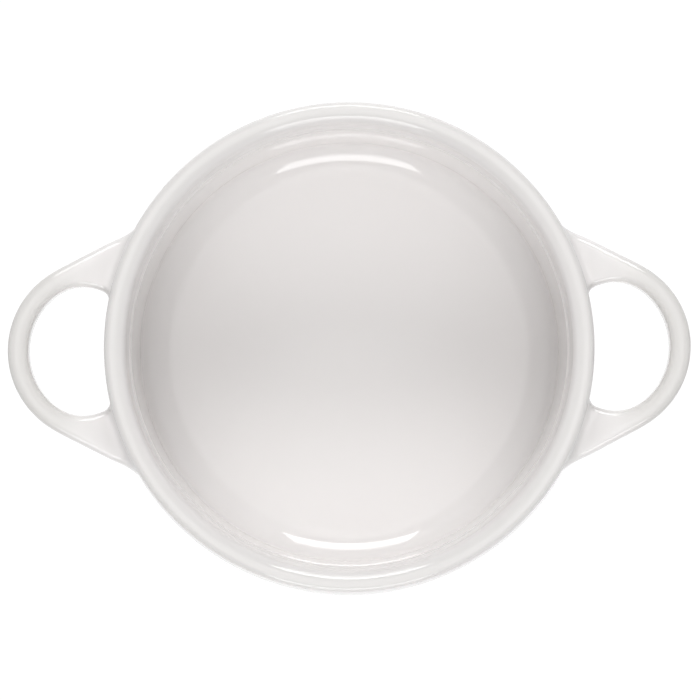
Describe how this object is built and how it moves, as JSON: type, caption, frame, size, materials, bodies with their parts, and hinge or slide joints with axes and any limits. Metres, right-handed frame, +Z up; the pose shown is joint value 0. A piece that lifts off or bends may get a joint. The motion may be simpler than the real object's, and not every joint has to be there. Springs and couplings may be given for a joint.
{
  "type": "mini cocotte",
  "caption": "Small round glazed stoneware pot, open at the top, with a loop handle on each side, a ledge inside the rim and a bare foot ring.",
  "frame": {"origin": "centre of the foot ring, on the surface that the pot stands on", "axes": "+Z up out of the mouth, +X through the right handle, +Y across the handles"},
  "size_m": [0.141, 0.1026, 0.05],
  "materials": {
    "glaze": "polished",
    "bare_clay": "matte"
  },
  "bodies": {
    "root": {"pot_body": "glaze", "left_handle": "glaze", "right_handle": "glaze", "foot_ring": "bare_clay"}
  },
  "joints": []
}
